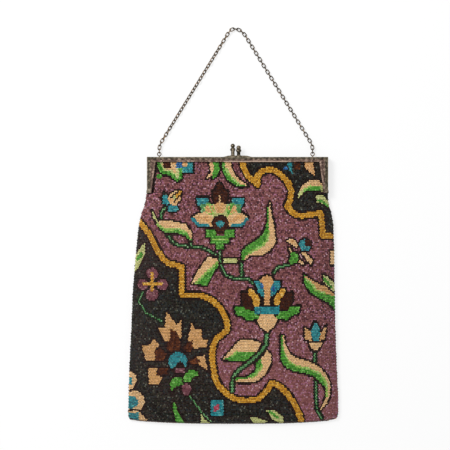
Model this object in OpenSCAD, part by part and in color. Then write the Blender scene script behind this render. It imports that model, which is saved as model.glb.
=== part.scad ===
// Bead-knitted frame purse lying on its back, with a kiss-lock frame and a carrying chain.
// X runs across the front, Y from the bottom fold to the chain, Z out of the front.
// The origin is the centre of the back, which lies on Z = 0.

/* [Frame] */
// Outer width of the frame
frame_w = 172; // [140:1:200]
// Height of the top rail on its face
rail_h = 4.4; // [4:0.1:7]
// Width of an arm under the rail
arm_top_w = 8.2; // [5.5:0.1:9]
// Width of an arm at the hinge
arm_end_w = 3.8; // [3.6:0.1:5]
// Drop from the rail's top to the hinge axis
arm_drop = 33; // [28:0.5:40]
// Depth of one frame half, from the parting plane to its face
half_depth = 5.2; // [4.6:0.1:6.5]
// Thickness of the frame's sheet metal
sheet_t = 0.8; // [0.6:0.1:1]
// Clear space between the two closed halves
parting_gap = 0.3; // [0.2:0.05:0.6]
// Radius of the rolled lip on the inner edges
lip_r = 0.55; // [0.4:0.05:0.7]
// Rise of the low crest under the knobs
crest_h = 1.3; // [0.5:0.1:2]
// Flat length on top of the crest
crest_flat = 15; // [12:0.5:20]
// Length of one sloping end of the crest
crest_slope = 7; // [4:0.5:12]

/* [Frame ornament] */
// Depth of the sunk panel in the face
panel_depth = 0.25; // [0.15:0.05:0.4]
// Width of the plain border round the panel
panel_border = 0.9; // [0.6:0.1:1.2]
// Spacing of the raised lozenges
lozenge_pitch = 5; // [4:0.25:8]
// Length of a lozenge
lozenge_l = 3.9; // [2.5:0.1:3.9]
// Share of the panel's height that a lozenge fills
lozenge_fill = 0.7; // [0.5:0.05:0.9]

/* [Hinge] */
// Radius of the hinge ears
ear_r = 2.6; // [2.2:0.1:3]
// Side clearance between the two ears
ear_gap = 0.2; // [0.15:0.05:0.4]
// Radius of the rivet's shank
pin_r = 0.8; // [0.6:0.05:1]
// Running clearance round the shank
pin_clear = 0.08; // [0.05:0.01:0.15]
// Radius of the rivet's heads
head_r = 1.5; // [1.2:0.1:2]
// Thickness of the rivet's heads
head_t = 0.6; // [0.4:0.1:1]

/* [Clasp] */
// Radius of the main ball of a knob
ball_r = 2.4; // [1.8:0.1:2.6]
// Radius of the finial ball
finial_r = 2.1; // [1.2:0.05:2.3]
// Radius of the neck
neck_r = 1.7; // [0.8:0.05:1.75]
// Height of the upright part of the neck
neck_h = 2.7; // [2.4:0.1:4]
// Distance from the bend of the neck to the main ball
ball_reach = 3.2; // [3:0.1:4.5]
// Lean of the front knob to the back
front_lean = 18; // [10:1:25]
// Lean of the rear knob to the front
rear_lean = 46; // [35:1:50]
// Side clearance between the two passing balls
kiss_gap = 0.35; // [0.25:0.05:0.6]
// Shift of the clasp from the middle of the rail
clasp_x = -1.7; // [-4:0.1:4]

/* [Chain] */
// Wire thickness of the links
wire_d = 0.9; // [0.7:0.05:1]
// Outer length of a link
link_l = 5.5; // [5:0.1:6.5]
// Outer width of a link
link_w = 3.6; // [3.5:0.1:4.4]
// Clearance between one link and the next
link_clear = 0.2; // [0.15:0.01:0.3]
// Turn of the links in the middle of the left run
left_twist = 45; // [0:5:60]
// Mean radius of an eye's ring
eye_r = 1.7; // [1.5:0.1:2.2]
// Height of the ring's centre over the rail
eye_rise = 3; // [2.7:0.1:4]
// Distance of the left eye from the left end of the rail
left_eye_in = 11.4; // [8:0.2:30]
// Distance of the right eye from the right end of the rail
right_eye_in = 14.4; // [8:0.2:30]
// Height of the chain's highest point over the rail
chain_rise = 122.5; // [90:0.5:150]
// Side shift of the chain's highest point
chain_top_x = -3.6; // [-20:0.2:20]

/* [Pouch] */
// Length from the rail's top to the bottom fold
bag_l = 253; // [220:1:280]
// Half width at the shoulders, left and right
shoulder_l = 88; // [84:0.5:95]
// Half width at the right shoulder
shoulder_r = 86.5; // [84:0.5:95]
// Half width at the bottom on the left
bottom_l = 104; // [90:0.5:115]
// Half width at the bottom on the right
bottom_r = 96.5; // [90:0.5:115]
// Thickness over the middle of the lying pouch
bag_t = 13; // [11.5:0.1:18]
// Height of the front cloth at the mouth
mouth_t = 9.5; // [9.2:0.1:10]
// Height of the side seam over the back
seam_t = 3.4; // [2.8:0.1:4.2]
// Lift of the two bottom corners over the middle of the fold
corner_lift = 3.5; // [0:0.5:10]
// Thickness of the bead-knit
knit_t = 1.4; // [1:0.1:1.6]
// Spacing of the bead-row ridges
row_pitch = 4.2; // [3.6:0.1:8]
// Depth of the furrows between the rows
row_depth = 0.4; // [0.2:0.05:0.6]
// Thickness of the lining
lining_t = 0.4; // [0.3:0.05:0.6]
// Clear space between the lining and the knit
lining_gap = 0.2; // [0.15:0.05:0.4]
// Clear space between the cloth and the frame
sew_gap = 0.4; // [0.3:0.05:0.8]
// Clear height of the slits at both sides of the mouth
slit_t = 2.4; // [2:0.1:3]

/* [Hidden] */
// Smoothness of the round pieces
$fn = 48;
rail_y = bag_l / 2;
lip_y = rail_y - rail_h;
hinge_y = rail_y - arm_drop;
arm_end_y = hinge_y - 1;
mouth_y = lip_y - lip_r - sew_gap;
part_z = half_depth;
crest_y = rail_y + crest_h;
ear_in = frame_w / 2 - 2 * sheet_t - ear_gap;
eye_z = half_depth / 2;
eye_wire = wire_d;
left_eye_x = frame_w / 2 - left_eye_in;
right_eye_x = frame_w / 2 - right_eye_in;
hook_y = rail_y + eye_rise + eye_r;
swing_r = norm([half_depth, hinge_y - arm_end_y]);
shoulder_y = hinge_y - swing_r - sew_gap;

// Width of an arm at a height, tapering from the rail to the hinge
function arm_w(y) = lookup(y, [[arm_end_y, arm_end_w], [lip_y, arm_top_w]]);

// The crest's outline over the rail, with ogee ends
function crest_line(in) = concat(
    [for (t = [0:0.125:1])
        [-crest_flat / 2 - crest_slope * (1 - t), rail_y - in + crest_h * (1 - cos(180 * t)) / 2]],
    [for (t = [1:-0.125:0])
        [crest_flat / 2 + crest_slope * (1 - t), rail_y - in + crest_h * (1 - cos(180 * t)) / 2]]
);

// Outline of a frame half on its face, drawn in by a margin on the outer side
module frame_outline(in) {
    half = frame_w / 2 - in;
    polygon(concat(
        [[-half, arm_end_y], [-half, rail_y - in]],
        crest_line(in),
        [[half, rail_y - in], [half, arm_end_y]],
        [[frame_w / 2 - arm_end_w, arm_end_y], [frame_w / 2 - arm_top_w, lip_y]],
        [[arm_top_w - frame_w / 2, lip_y], [arm_end_w - frame_w / 2, arm_end_y]]
    ));
}

// Rolled lip along the inner edge of the rail and both arms, a little behind the face
module frame_lip() {
    lean = atan((arm_top_w - arm_end_w) / (lip_y - arm_end_y));
    run = norm([arm_top_w - arm_end_w, lip_y - arm_end_y]);
    lip_z = 1.2 * lip_r;
    arm_lip_r = 0.9 * lip_r;
    translate([0, lip_y, lip_z])
        rotate([0, 90, 0])
            cylinder(r = lip_r, h = frame_w - 2 * arm_top_w + lip_r, center = true);
    for (side = [-1, 1])
        translate([side * (frame_w / 2 - arm_top_w), lip_y, lip_z])
            rotate([90, 0, side * lean])
                cylinder(r = arm_lip_r, h = run);
}

// Sunk panel of the rail's face, between plain borders
module rail_panel() {
    side = frame_w / 2 - panel_border;
    translate([-side, lip_y + lip_r + panel_border / 2])
        square([2 * side, rail_h - lip_r - 1.5 * panel_border]);
}

// Sunk panel of one arm's face, tapering with the arm
module arm_panel(side) {
    low_y = hinge_y + ear_r;
    inner = panel_border + lip_r;
    outer = frame_w / 2 - panel_border;
    polygon([
        [side * outer, low_y],
        [side * outer, lip_y],
        [side * (frame_w / 2 - arm_w(lip_y) + inner), lip_y],
        [side * (frame_w / 2 - arm_w(low_y) + inner), low_y]
    ]);
}

// One raised lozenge, its long way along X
module lozenge(width) {
    linear_extrude(panel_depth)
        polygon([[-lozenge_l / 2, 0], [0, -width / 2], [lozenge_l / 2, 0], [0, width / 2]]);
}

// The rows of lozenges in the panels
module lozenges() {
    rail_mid = lip_y + (rail_h + lip_r) / 2 - panel_border / 4;
    rail_in = rail_h - lip_r - 1.5 * panel_border;
    count = floor((frame_w - 2 * arm_top_w) / lozenge_pitch / 2);
    for (i = [-count:count])
        translate([i * lozenge_pitch, rail_mid, 0])
            lozenge(rail_in * lozenge_fill);
    arm_count = floor((lip_y - hinge_y - ear_r) / lozenge_pitch);
    for (side = [-1, 1], i = [0:arm_count - 1]) {
        y = lip_y - (i + 0.5) * lozenge_pitch;
        clear_w = arm_w(y) - 2 * panel_border - lip_r;
        translate([side * (frame_w / 2 - panel_border - clear_w / 2), y, 0])
            rotate(90)
                lozenge(clear_w * lozenge_fill);
    }
}

// Channel of one frame half with its face on Z = 0 and its flange rising to the parting plane
module frame_channel() {
    difference() {
        linear_extrude(sheet_t)
            frame_outline(0);
        translate([0, 0, -panel_depth])
            linear_extrude(2 * panel_depth) {
                rail_panel();
                arm_panel(-1);
                arm_panel(1);
            }
    }
    lozenges();
    frame_lip();
    linear_extrude(half_depth - parting_gap / 2)
        difference() {
            frame_outline(0);
            frame_outline(sheet_t);
            frame_inside();
        }
}

// All that lies inside the flange, down to the open ends of the arms
module frame_inside() {
    half = frame_w / 2 - sheet_t;
    translate([-half, arm_end_y - sheet_t])
        square([2 * half, rail_y - sheet_t - arm_end_y]);
}

// Cylinder along X about the hinge axis, starting at a distance from the middle
module hinge_round(side, from, to, r) {
    translate([side * from, hinge_y, part_z])
        rotate([0, side * 90, 0])
            cylinder(r = r, h = to - from);
}

// Front half, its ears in line with its flange and round the rivets
module front_frame() {
    color([0.42, 0.38, 0.31])
        difference() {
            union() {
                translate([0, 0, 2 * half_depth])
                    mirror([0, 0, 1])
                        frame_channel();
                for (side = [-1, 1])
                    hinge_round(side, frame_w / 2 - sheet_t, frame_w / 2, ear_r);
            }
            for (side = [-1, 1])
                hinge_round(side, frame_w / 2 - 2 * sheet_t, frame_w / 2 + sheet_t, pin_r + pin_clear);
        }
}

// Rear half, its ears stepped in behind the front ears
module rear_frame() {
    color([0.42, 0.38, 0.31])
        difference() {
            union() {
                difference() {
                    frame_channel();
                    for (side = [-1, 1])
                        hinge_round(side, frame_w / 2 - 1.5 * sheet_t, frame_w / 2 + sheet_t, ear_r + ear_gap);
                }
                for (side = [-1, 1]) {
                    hinge_round(side, ear_in, ear_in + sheet_t, ear_r);
                    translate([side * (ear_in + sheet_t / 2), hinge_y + ear_r / 2, part_z / 2])
                        cube([sheet_t, ear_r, part_z], center = true);
                }
            }
            for (side = [-1, 1])
                hinge_round(side, ear_in - sheet_t, frame_w / 2 - sheet_t, pin_r);
        }
}

// Rivet through both ears, with a head at each end
module hinge_pin(side) {
    head_gap = ear_gap / 4;
    hinge_round(side, ear_in - head_t, frame_w / 2 + head_gap + head_t, pin_r);
    hinge_round(side, ear_in - head_t, ear_in, head_r);
    hinge_round(side, frame_w / 2 + head_gap, frame_w / 2 + head_gap + head_t, head_r);
}

module left_hinge_pin() {
    color([0.55, 0.5, 0.42])
        hinge_pin(-1);
}

module right_hinge_pin() {
    color([0.55, 0.5, 0.42])
        hinge_pin(1);
}

// Turned knob on a bent neck, rising along Y and leaning along +Z
module clasp_knob(lean) {
    foot_h = 0.9;
    foot_r = 1.4 * neck_r;
    rotate([-90, 0, 0]) {
        cylinder(r1 = foot_r, r2 = neck_r, h = foot_h);
        cylinder(r = neck_r, h = neck_h);
        translate([0, 0, neck_h]) {
            sphere(r = neck_r);
            rotate([lean, 0, 0]) {
                cylinder(r = neck_r, h = ball_reach);
                translate([0, 0, ball_reach]) {
                    sphere(r = ball_r);
                    rotate_extrude()
                        translate([ball_r, 0])
                            circle(r = wire_d / 4);
                    translate([0, 0, ball_r + finial_r * 0.7])
                        sphere(r = finial_r);
                }
            }
        }
    }
}

// Side step from the middle of the clasp to a knob
knob_x = ball_r + wire_d / 4 + kiss_gap / 2;

module front_clasp_knob() {
    color([0.5, 0.46, 0.38])
        translate([clasp_x - knob_x, crest_y, 1.5 * half_depth])
            clasp_knob(-front_lean);
}

module rear_clasp_knob() {
    color([0.5, 0.46, 0.38])
        translate([clasp_x + knob_x, crest_y, half_depth / 2])
            clasp_knob(rear_lean);
}

// Ring eye on a stem, standing on the rear rail
module chain_eye(x) {
    translate([x, rail_y, eye_z]) {
        rotate([-90, 0, 0])
            cylinder(r = eye_wire * 0.6, h = eye_rise - eye_r);
        translate([0, eye_rise, 0])
            rotate_extrude()
                translate([eye_r, 0])
                    circle(d = eye_wire);
    }
}

module left_chain_eye() {
    color([0.5, 0.46, 0.38])
        chain_eye(-left_eye_x);
}

module right_chain_eye() {
    color([0.5, 0.46, 0.38])
        chain_eye(right_eye_x);
}

// Way of the lying chain in plan, from the left eye's hook over the top to the right eye's hook
left_hook = [-left_eye_x, hook_y];
right_hook = [right_eye_x, hook_y];
chain_top = [chain_top_x, rail_y + chain_rise];
left_bend = chain_top + [-5.6, -4.8];
right_bend = chain_top + [12, -8];
// A quadratic curve from a to b drawn towards c
function curve(a, c, b, t) = a * (1 - t) * (1 - t) + c * 2 * t * (1 - t) + b * t * t;
link_pitch = link_l - 2 * wire_d - link_clear;
// The end links stand upright in the eyes, with their wire just under the top of the ring
first_joint = [0, (link_l - link_pitch - wire_d) / 2 - (wire_d + eye_wire) / 2 - link_clear];
second_joint = first_joint + [0, link_pitch];
left_rise = left_hook + second_joint;
right_rise = right_hook + second_joint;
// Ends of the bends over the eyes, two links long and turned towards the top
function leaned(foot, to) = foot + [0, link_pitch] + link_pitch * (to - foot) / norm(to - foot);
chain_plan = concat(
    [left_hook + first_joint],
    [for (t = [0:0.2:1]) curve(left_rise, left_rise + [0, link_pitch], leaned(left_rise, left_bend), t)],
    [for (t = [0:0.1:1]) curve(left_bend, chain_top + [-3, 0.2], chain_top, t)],
    [for (t = [0.1:0.1:1]) curve(chain_top, chain_top + [7, 0.6], right_bend, t)],
    [for (t = [1:-0.2:0]) curve(right_rise, right_rise + [0, link_pitch], leaned(right_rise, right_bend), t)],
    [right_hook + first_joint]
);
// Distance along the way at each of its points
function run_to(i) = i == 0 ? 0 : run_to(i - 1) + norm(chain_plan[i] - chain_plan[i - 1]);
chain_run = [for (i = [0:len(chain_plan) - 1]) run_to(i)];
chain_l = chain_run[len(chain_run) - 1];
link_count = 2 * ceil((chain_l / link_pitch - 1) / 2) + 1;
step = chain_l / link_count;
left_count = round(link_count * 0.49);
way_x = [for (i = [0:len(chain_plan) - 1]) [chain_run[i], chain_plan[i][0]]];
way_y = [for (i = [0:len(chain_plan) - 1]) [chain_run[i], chain_plan[i][1]]];
// Links over which the twist of the left run comes and goes
twist_in = 9;
// Links over which the chain comes down from the eyes to lie flat
lay_in = 5;

// Turn of a link about its own length
function twist(i) = left_twist * min(1, max(0, i / twist_in), max(0, (left_count - i) / twist_in));
// Height of the chain's middle where link ends meet
function lying_z(i) =
    (link_w - wire_d) / 2 * max(abs(cos(twist(i))), abs(sin(twist(i)))) + wire_d / 2;
function chain_z(i) =
    let (near = min(1, min(i, link_count - i) / lay_in))
    eye_z * (1 - near) + lying_z(i) * near;
function joint_at(i) = [lookup(i * step, way_x), lookup(i * step, way_y), chain_z(i)];

// One oval link, lying in XY with its length along X
module link() {
    bend = (link_w - wire_d) / 2;
    straight = link_l - link_w;
    for (side = [-1, 1]) {
        translate([side * straight / 2, 0, 0])
            rotate(side * 90 - 180)
                rotate_extrude(angle = 180)
                    translate([bend, 0])
                        circle(d = wire_d);
        translate([-straight / 2, side * bend, 0])
            rotate([0, 90, 0])
                cylinder(d = wire_d, h = straight);
    }
}

// Links from one count to the next, each turned a quarter against its neighbours
module chain_links(first, last) {
    for (i = [first:last]) {
        a = joint_at(i);
        b = joint_at(i + 1);
        d = (b - a) / norm(b - a);
        translate((a + b) / 2)
            rotate([0, -asin(d[2]), atan2(d[1], d[0])])
                rotate([90 * ((i + 1) % 2) + twist(i + 0.5), 0, 0])
                    link();
    }
}

module chain_left_run() {
    color([0.48, 0.44, 0.38])
        chain_links(0, left_count - 1);
}

module chain_right_run() {
    color([0.48, 0.44, 0.38])
        chain_links(left_count, link_count - 1);
}

// The cloth between the arms stays inside them, and the shoulders start under the arms' swing
inside_top = frame_w / 2 - arm_top_w - lip_r - sew_gap;
inside_end = frame_w / 2 - arm_end_w - lip_r - sew_gap;
bottom_y = -rail_y;
fold_y = bottom_y + 8;
flare_y = shoulder_y - 2.5;
flare_l = bottom_l - shoulder_l;
flare_r = bottom_r - shoulder_r;
// Stations up the pouch: height, half width left, half width right, front over the middle, side seam, squareness
stations = [
    [bottom_y, bottom_l - 3, bottom_r - 6, seam_t * 0.9, seam_t * 0.5, 5],
    [bottom_y + 1, bottom_l - 1.2, bottom_r - 3.2, seam_t * 1.6, seam_t * 0.6, 5],
    [bottom_y + 3, bottom_l - 0.4, bottom_r - 1.2, bag_t * 0.58, seam_t * 0.85, 5],
    [fold_y, bottom_l, bottom_r, bag_t * 0.76, seam_t, 5],
    [bottom_y * 0.82, bottom_l - flare_l * 0.04, bottom_r - flare_r * 0.04, bag_t * 0.9, seam_t, 5],
    [bottom_y * 0.56, bottom_l - flare_l * 0.12, bottom_r - flare_r * 0.12, bag_t * 0.98, seam_t, 5],
    [bottom_y * 0.3, bottom_l - flare_l * 0.22, bottom_r - flare_r * 0.22, bag_t, seam_t, 5],
    [0, bottom_l - flare_l * 0.32, bottom_r - flare_r * 0.32, bag_t, seam_t, 5],
    [shoulder_y * 0.43, bottom_l - flare_l * 0.45, bottom_r - flare_r * 0.45, bag_t * 0.98, seam_t, 5],
    [shoulder_y - 25, bottom_l - flare_l * 0.56, bottom_r - flare_r * 0.56, bag_t * 0.96, seam_t, 6],
    [shoulder_y - 14, bottom_l - flare_l * 0.72, bottom_r - flare_r * 0.72, bag_t * 0.93, seam_t, 7],
    [flare_y, shoulder_l, shoulder_r, bag_t * 0.88, seam_t, 8],
    [shoulder_y, inside_end, inside_end, bag_t * 0.87, seam_t, 12],
    [hinge_y, inside_end, inside_end, mouth_t + 1, part_z, 14],
    [mouth_y, inside_top, inside_top, mouth_t, part_z, 14]
];
function at(y, col) = lookup(y, [for (s = stations) [s[0], s[col]]]);
// Heights of the rings of a smooth skin, from its lower end to the mouth
function skin_y(low) = concat([low], [for (s = stations) if (s[0] > low + 0.5) s[0]]);
// Heights of the rings of the beaded skin, a crown and a furrow to each row
function rows_y(low, high) =
    let (count = 2 * floor((high - low) / row_pitch))
    [for (j = [0:count]) low + (high - low) * j / count];
beaded_y = concat([bottom_y, bottom_y + 1, bottom_y + 3], rows_y(fold_y, flare_y), rows_y(shoulder_y, mouth_y));

// A closed ring round the cloth: front from right to left, left seam, back, right seam
front_steps = [0.96, 0.88, 0.76, 0.58, 0.36, 0.12, -0.12, -0.36, -0.58, -0.76, -0.88, -0.96];
steps = len(front_steps);
ring_n = 2 * steps + 2;
function cloth_ring(y, in, furrow) =
    let (
        left = at(y, 1) - in,
        right = at(y, 2) - in,
        seam = at(y, 4),
        rise = max(0.2, at(y, 3) - in - seam),
        lift = corner_lift * pow(max(0, -y / rail_y), 3)
    )
    concat(
        [for (u = front_steps)
            [u * (u > 0 ? right : left), y + lift * pow(abs(u), 3),
                seam + (rise - furrow) * sqrt(1 - pow(abs(u), at(y, 5)))]],
        [[-left, y + lift, seam]],
        [for (i = [steps - 1:-1:0])
            let (u = front_steps[i])
            [u * (u > 0 ? right : left), y + lift * pow(abs(u), 3), min(in, seam * 0.8)]],
        [[right, y + lift, seam]]
    );
function turned(face) = [for (i = [len(face) - 1:-1:0]) face[i]];
// Walls between the rings of one skin
function walls(rings, first) = [
    for (j = [0:rings - 2], i = [0:ring_n - 1])
        let (a = first + j * ring_n + i, b = first + j * ring_n + (i + 1) % ring_n)
        each [[a, b, b + ring_n], [a, b + ring_n, a + ring_n]]
];
// Lower end of a skin, closed between its front and its back
function fold_end(first) = concat(
    [[first + 2 * steps + 1, first, first + 2 * steps]],
    [for (i = [0:steps - 2]) [first + i, first + i + 1, first + 2 * steps - i - 1, first + 2 * steps - i]],
    [[first + steps - 1, first + steps, first + steps + 1]]
);

// A bag of cloth: rings of its outer skin up to the mouth, then those of its inner skin
module cloth_bag(in, thick, outer_y, inner_y, furrow) {
    outer = [for (j = [0:len(outer_y) - 1])
        cloth_ring(outer_y[j], in, outer_y[j] > fold_y && outer_y[j] < mouth_y ? furrow * (j % 2) : 0)];
    inner = [for (y = inner_y) cloth_ring(y, in + thick, 0)];
    first_in = len(outer) * ring_n;
    rim_out = first_in - ring_n;
    rim_in = first_in + (len(inner) - 1) * ring_n;
    rim = [for (i = [0:ring_n - 1])
        let (k = (i + 1) % ring_n)
        [rim_out + i, rim_out + k, rim_in + k, rim_in + i]];
    polyhedron(
        [for (ring = concat(outer, inner), p = ring) p],
        concat(
            walls(len(outer), 0),
            [for (face = fold_end(0)) turned(face)],
            [for (face = walls(len(inner), first_in)) turned(face)],
            fold_end(first_in),
            rim
        )
    );
}

// The slits that part the front cloth from the back cloth inside the frame
module side_slits() {
    slit_l = mouth_y - hinge_y + knit_t;
    for (side = [-1, 1])
        translate([side * inside_end, mouth_y + knit_t - slit_l / 2, part_z])
            cube([arm_end_w * 4, slit_l + knit_t, slit_t], center = true);
}

// The bead-knit, with its rows as ridges over the front
module beaded_pouch() {
    color([0.42, 0.25, 0.29])
        difference() {
            cloth_bag(0, knit_t, beaded_y, skin_y(bottom_y + 4), row_depth);
            side_slits();
        }
}

// Thin lining just inside the bead-knit
module silk_lining() {
    lining_in = knit_t + lining_gap;
    color([0.62, 0.52, 0.42])
        difference() {
            cloth_bag(lining_in, lining_t, skin_y(bottom_y + 5.5), skin_y(bottom_y + 6.2), 0);
            side_slits();
        }
}

front_frame();
rear_frame();
left_hinge_pin();
right_hinge_pin();
front_clasp_knob();
rear_clasp_knob();
left_chain_eye();
right_chain_eye();
chain_left_run();
chain_right_run();
beaded_pouch();
silk_lining();
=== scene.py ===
import bpy
import math
import numpy as np
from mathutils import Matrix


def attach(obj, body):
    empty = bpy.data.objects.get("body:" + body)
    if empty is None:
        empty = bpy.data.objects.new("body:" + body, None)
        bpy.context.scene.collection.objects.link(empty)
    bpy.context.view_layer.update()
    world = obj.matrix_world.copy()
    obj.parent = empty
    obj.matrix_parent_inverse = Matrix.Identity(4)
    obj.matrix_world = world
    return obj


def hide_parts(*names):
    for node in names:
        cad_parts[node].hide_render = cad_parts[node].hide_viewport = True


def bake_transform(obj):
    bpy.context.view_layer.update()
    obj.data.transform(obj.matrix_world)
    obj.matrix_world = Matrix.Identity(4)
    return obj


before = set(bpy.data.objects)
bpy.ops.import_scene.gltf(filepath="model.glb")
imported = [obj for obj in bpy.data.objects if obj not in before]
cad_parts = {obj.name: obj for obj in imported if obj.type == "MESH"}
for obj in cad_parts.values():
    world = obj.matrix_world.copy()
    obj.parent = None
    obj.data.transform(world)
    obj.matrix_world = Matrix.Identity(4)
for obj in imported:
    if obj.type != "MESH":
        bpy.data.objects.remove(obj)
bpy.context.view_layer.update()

# The frame is two pressed halves of thin brass, silver plated. A century of handling has left the recesses
# of the face brown with patina and the raised work rubbed to a paler grey; the pale rolled lip is a painted
# highlight.
MM = 0.001
# Half width and top of the frame, how far its plated outer edge comes in, and how soft that edge is, in mm
FRAME_HALF, RAIL_Y, EDGE_SIDE, EDGE_TOP, EDGE_FADE = 86.0, 126.5, 3.2, 2.0, 0.4
# Stretch of the lip right of the clasp that carries a painted highlight: its middle, half length and fade,
# in mm
LIP_GLINT_X, LIP_GLINT_REACH, LIP_GLINT_FADE = 17.5, 29.0, 4.0
# Top of the rail's rolled lip, below which the painted highlight lies, and its fade, in mm
LIP_TOP, LIP_FADE = 122.6, 0.2
# Shades of the plate, from the brown of the hollows to the rubbed grey, and of brass where it is gone,
# tinted pink by a painted reflection of the plum beads
PLATE = [(0.0, "#171510"), (0.35, "#383326"), (0.6, "#5f5644"), (0.9, "#9a8c78")]
BRASS_AND_REFLECTION = [(0.0, "#1c1210"), (0.4, "#4a3831"), (0.7, "#7a6256"), (1.0, "#c4aa98")]
# Width of a patch of patina, of a scratch, and depth of a dent, in mm
PATCH, SCRATCH, DENT = 2.4, 0.5, 0.12
# Wear is what the patches give, above a part that stays unworn, with more on raised work, and the painted
# highlight's lift on the lip
PATCH_WEAR, UNWORN, RAISED_WEAR, LIP_GLINT_LIFT = 1.9, 0.62, 0.35, 0.55


def linear(hex_colour):
    parts = [int(hex_colour[i:i + 2], 16) / 255 for i in (1, 3, 5)]
    return tuple(c / 12.92 if c <= 0.04045 else ((c + 0.055) / 1.055) ** 2.4 for c in parts) + (1.0,)


def add_node(tree, kind, inputs=None, stops=None, **settings):
    node = tree.nodes.new(kind)
    for name, value in settings.items():
        setattr(node, name, value)
    if stops:
        elements = node.color_ramp.elements
        elements.remove(elements[1])
        elements[0].position, elements[0].color = stops[0][0], linear(stops[0][1])
        for place, colour in stops[1:]:
            elements.new(place).color = linear(colour)
    for socket, value in (inputs or {}).items():
        if isinstance(value, bpy.types.NodeSocket):
            tree.links.new(value, node.inputs[socket])
        else:
            node.inputs[socket].default_value = value
    return node


def new_material(name):
    material = bpy.data.materials.new(name)
    material.use_nodes = True
    material.node_tree.nodes.clear()
    return material, material.node_tree


def dress(name, material):
    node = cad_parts[name]
    node.data.materials.clear()
    node.data.materials.append(material)


# Aged silver plate: olive grey, mottled in patches of a few millimetres, dull in the hollows, paler on top
def aged_plate(name, hollow_z, face_z, on_frame=False, shades=PLATE):
    material, tree = new_material(name)
    place = add_node(tree, "ShaderNodeTexCoord").outputs["Object"]
    axes = add_node(tree, "ShaderNodeSeparateXYZ", {"Vector": place}).outputs
    raised = add_node(tree, "ShaderNodeMapRange", {
        "Value": axes["Z"], "From Min": hollow_z * MM, "From Max": face_z * MM, "To Min": 0.0,
        "To Max": RAISED_WEAR})
    patch = add_node(tree, "ShaderNodeTexNoise", {
        "Vector": place, "Scale": 1 / (PATCH * MM), "Detail": 5.0, "Roughness": 0.7})
    spread = add_node(tree, "ShaderNodeMath", {0: patch.outputs["Fac"], 1: PATCH_WEAR}, operation="MULTIPLY")
    rubbed = add_node(tree, "ShaderNodeMath", {0: raised.outputs["Result"], 1: spread.outputs[0]},
                      operation="ADD")
    left = add_node(tree, "ShaderNodeMath", {0: rubbed.outputs[0], 1: UNWORN}, operation="SUBTRACT",
                    use_clamp=True)
    worn = left.outputs[0]
    plate = add_node(tree, "ShaderNodeValToRGB", {"Fac": worn}, stops=shades)
    colour = plate.outputs["Color"]
    if on_frame:
        # Inside the outer edge the plate is gone and reddish brass shows, its pink partly a painted
        # reflection of the plum beads, and a painted highlight runs along the lip
        from_glint_middle = add_node(tree, "ShaderNodeMath", {0: axes["X"], 1: LIP_GLINT_X * MM}, operation="SUBTRACT")
        glint_away = add_node(tree, "ShaderNodeMath", {0: from_glint_middle.outputs[0]}, operation="ABSOLUTE")
        glint_stretch = add_node(tree, "ShaderNodeMapRange", {
            "Value": glint_away.outputs[0], "From Min": (LIP_GLINT_REACH + LIP_GLINT_FADE) * MM,
            "From Max": LIP_GLINT_REACH * MM})
        lip = add_node(tree, "ShaderNodeMapRange", {
            "Value": axes["Y"], "From Min": (LIP_TOP + LIP_FADE) * MM, "From Max": LIP_TOP * MM})
        # The pale streak along the lip is a painted highlight, light glinting on the rolled edge
        painted_lip_glint = add_node(tree, "ShaderNodeMath", {0: glint_stretch.outputs["Result"], 1: lip.outputs["Result"]},
                          operation="MULTIPLY")
        wear_and_glint = add_node(tree, "ShaderNodeMath", {0: painted_lip_glint.outputs[0], 1: LIP_GLINT_LIFT, 2: worn},
                       operation="MULTIPLY_ADD")
        # The pink of the brass is partly a painted reflection of the plum beads in the metal
        brass_and_reflection = add_node(tree, "ShaderNodeValToRGB", {"Fac": wear_and_glint.outputs[0]}, stops=BRASS_AND_REFLECTION)
        side = add_node(tree, "ShaderNodeMath", {0: axes["X"]}, operation="ABSOLUTE")
        from_side = add_node(tree, "ShaderNodeMath", {0: FRAME_HALF * MM, 1: side.outputs[0]},
                             operation="SUBTRACT")
        from_top = add_node(tree, "ShaderNodeMath", {0: (RAIL_Y + EDGE_SIDE - EDGE_TOP) * MM, 1: axes["Y"]},
                            operation="SUBTRACT")
        inward = add_node(tree, "ShaderNodeMath", {0: from_side.outputs[0], 1: from_top.outputs[0]},
                          operation="MINIMUM")
        inner = add_node(tree, "ShaderNodeMapRange", {
            "Value": inward.outputs[0], "From Min": (EDGE_SIDE - EDGE_FADE) * MM,
            "From Max": (EDGE_SIDE + EDGE_FADE) * MM})
        # The names of a mix node's sockets repeat, so its colours are given by number
        both = add_node(tree, "ShaderNodeMix", {
            0: inner.outputs["Result"], 6: colour, 7: brass_and_reflection.outputs["Color"]}, data_type="RGBA")
        colour = both.outputs[2]
    scratch = add_node(tree, "ShaderNodeTexNoise", {
        "Vector": place, "Scale": 1 / (SCRATCH * MM), "Detail": 3.0})
    rough = add_node(tree, "ShaderNodeMapRange", {
        "Value": scratch.outputs["Fac"], "To Min": 0.32, "To Max": 0.58})
    dents = add_node(tree, "ShaderNodeBump", {
        "Height": scratch.outputs["Fac"], "Strength": 0.35, "Distance": DENT * MM})
    shader = add_node(tree, "ShaderNodeBsdfPrincipled", {
        "Base Color": colour, "Metallic": 0.75, "Roughness": rough.outputs["Result"],
        "Normal": dents.outputs["Normal"]})
    add_node(tree, "ShaderNodeOutputMaterial", {"Surface": shader.outputs["BSDF"]})
    return material


dress("front_frame", aged_plate("aged_silver_plate_front", hollow_z=10.0, face_z=10.4, on_frame=True))
dress("rear_frame", aged_plate("aged_silver_plate_rear", hollow_z=0.4, face_z=0.0, on_frame=True))

# Two turned brass rivets pass through the ears of both frame halves, so that the front half can swing open.
# They are plated as the frame is.
rivet_plate = aged_plate("aged_silver_plate_rivet", hollow_z=3.0, face_z=7.4)
for name in ("left_hinge_pin", "right_hinge_pin"):
    dress(name, rivet_plate)

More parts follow.
